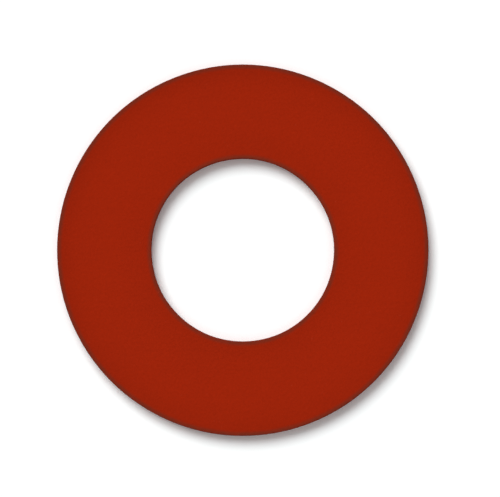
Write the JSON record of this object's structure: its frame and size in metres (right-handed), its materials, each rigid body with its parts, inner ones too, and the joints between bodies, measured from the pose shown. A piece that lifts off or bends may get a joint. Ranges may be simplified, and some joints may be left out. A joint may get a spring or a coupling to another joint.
{
  "type": "rubber flange gasket",
  "caption": "Flat red rubber ring that seals the joint between two bolted pipe flanges, centred by the bolts around its rim.",
  "frame": {"origin": "centre of the lower face, on the bore axis", "axes": "+Z along the bore axis, towards the face that the cutting die entered; X and Y are any two directions across the ring"},
  "size_m": [0.0666, 0.0666, 0.0032],
  "materials": {
    "red_rubber": "matte"
  },
  "bodies": {
    "root": {"gasket_ring": "red_rubber"}
  },
  "joints": []
}
